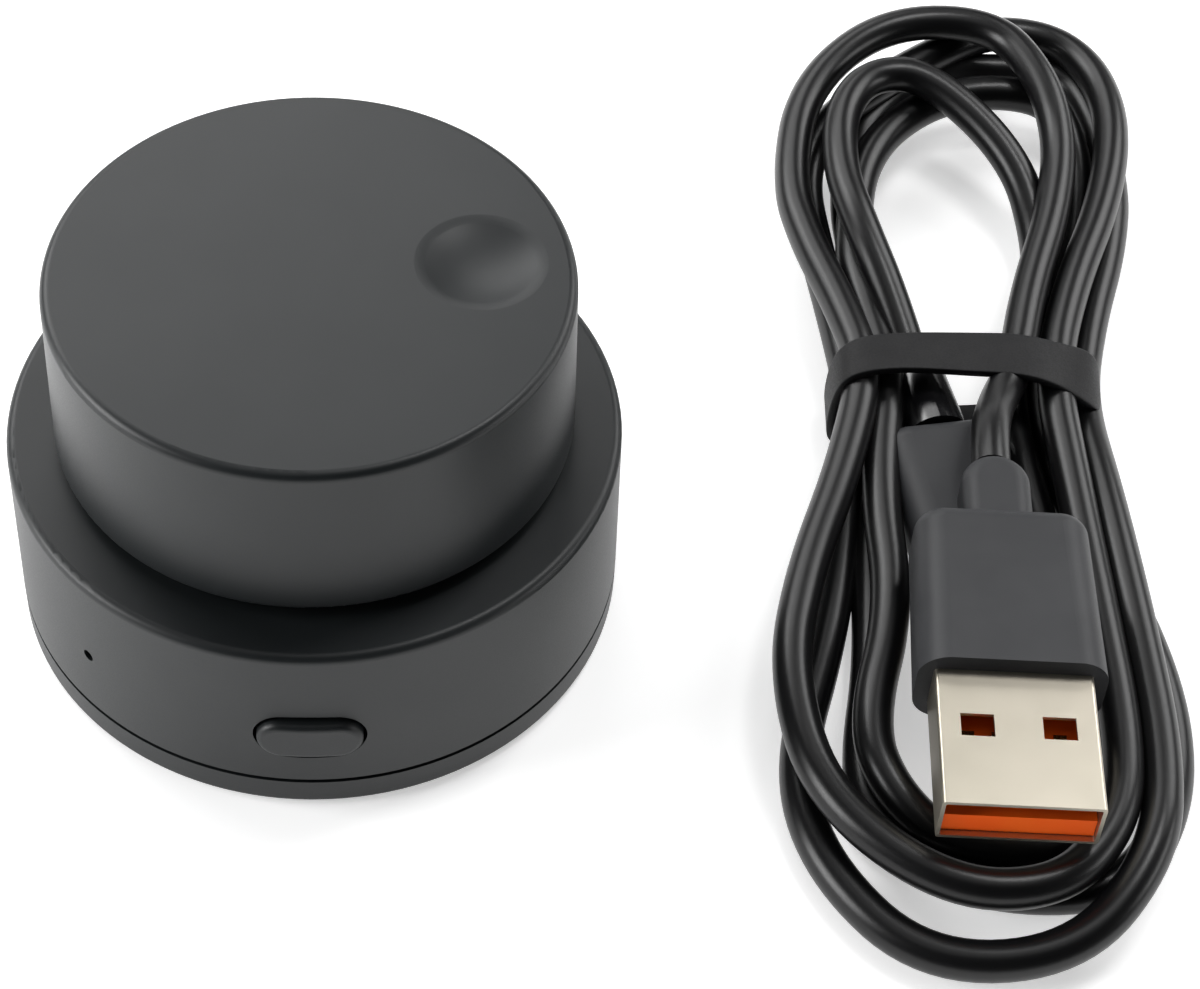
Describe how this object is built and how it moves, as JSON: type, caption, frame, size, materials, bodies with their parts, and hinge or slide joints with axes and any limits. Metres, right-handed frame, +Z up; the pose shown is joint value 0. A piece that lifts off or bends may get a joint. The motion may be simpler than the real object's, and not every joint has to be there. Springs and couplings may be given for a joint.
{
  "type": "usb volume control knob",
  "caption": "Round desk volume control: a push-and-turn knob on a weighted base with a side key, indicator hole and USB-C port, with its tied USB cable.",
  "frame": {"origin": "on the desk, under the middle of the round base", "axes": "+Z up along the knob axis, -Y through the mode key, +Y through the USB-C port"},
  "size_m": [0.0965, 0.1039, 0.0333],
  "materials": {
    "base_finish": "fine matte, dark grey",
    "knob_finish": "fine bead-blasted, dark grey anodised",
    "key_finish": "fine matte, dark grey",
    "foot_rubber": "matte",
    "steel": "zinc plated",
    "spring_steel": "bright",
    "zinc_frame": "satin, cast",
    "circuit_board": "green solder mask",
    "chip_resin": "moulded resin with tinned leads",
    "small_parts": "fired ceramic",
    "led_resin": "milky",
    "smoked_clear": "smoked, clear",
    "nickel": "nickel plated, satin",
    "black_nylon": "moulded",
    "gold_contacts": "gold plated",
    "hub_plastic": "moulded",
    "cable_jacket": "satin",
    "plug_rubber": "fine matte",
    "boot_rubber": "glossy",
    "band_rubber": "matte",
    "orange_plastic": "glossy"
  },
  "bodies": {
    "base": {"base_shell": "base_finish", "bottom_cover": "base_finish", "foot_pad": "foot_rubber", "ballast_ring": "steel", "cover_screws": "steel", "main_board": "circuit_board", "board_screws": "steel", "controller_chip": "chip_resin", "board_parts": "small_parts", "indicator_led": "led_resin", "light_pipe": "smoked_clear", "usb_port_shell": "nickel", "usb_port_insulator": "black_nylon", "usb_port_contacts": "gold_contacts", "mode_switch": "black_nylon", "encoder_case": "black_nylon", "encoder_pins": "nickel", "encoder_frame": "zinc_frame", "detent_spring": "spring_steel", "push_dome": "spring_steel", "encoder_washer": "steel", "encoder_nut": "steel"},
    "push_carrier": {"push_stem": "black_nylon"},
    "knob": {"knob_cap": "knob_finish", "knob_hub": "hub_plastic", "encoder_shaft": "steel", "shaft_clip": "spring_steel"},
    "encoder_wheel": {"encoder_rotor": "black_nylon"},
    "mode_key": {"mode_button": "key_finish", "mode_switch_plunger": "black_nylon"},
    "usb_cable": {"cable_hank": "cable_jacket", "cable_lead": "cable_jacket", "cable_band": "band_rubber", "plug_a_body": "plug_rubber", "plug_a_shell": "nickel", "plug_a_tongue": "orange_plastic", "plug_a_contacts": "gold_contacts", "plug_c_body": "plug_rubber", "plug_c_boot": "boot_rubber", "plug_c_shell": "nickel", "plug_c_insert": "black_nylon"}
  },
  "joints": [
    {"name": "knob_press", "type": "slide", "parent": "base", "child": "push_carrier", "axis": [0, 0, -1], "range_m": [0, 0.0005], "stiffness_N_per_m": 6000, "springref_m": -0.0003, "deforming": ["push_dome"]},
    {"name": "knob_turn", "type": "hinge", "parent": "push_carrier", "child": "knob", "pos_m": [0, 0, 0.0191], "axis": [0, 0, 1], "continuous": true},
    {"name": "encoder_wheel_turn", "type": "hinge", "parent": "base", "child": "encoder_wheel", "pos_m": [0, 0, 0.01], "axis": [0, 0, 1], "continuous": true},
    {"name": "mode_key_press", "type": "slide", "parent": "base", "child": "mode_key", "axis": [0, 1, 0], "range_m": [0, 0.00035], "stiffness_N_per_m": 3000, "springref_m": -0.0003},
    {"name": "cable_lift", "type": "slide", "parent": "base", "child": "usb_cable", "axis": [0, 0, 1], "range_m": [0, 0.1]}
  ],
  "couplings": [
    {"joint": "encoder_wheel_turn", "follows": "knob_turn", "ratio": 1}
  ]
}
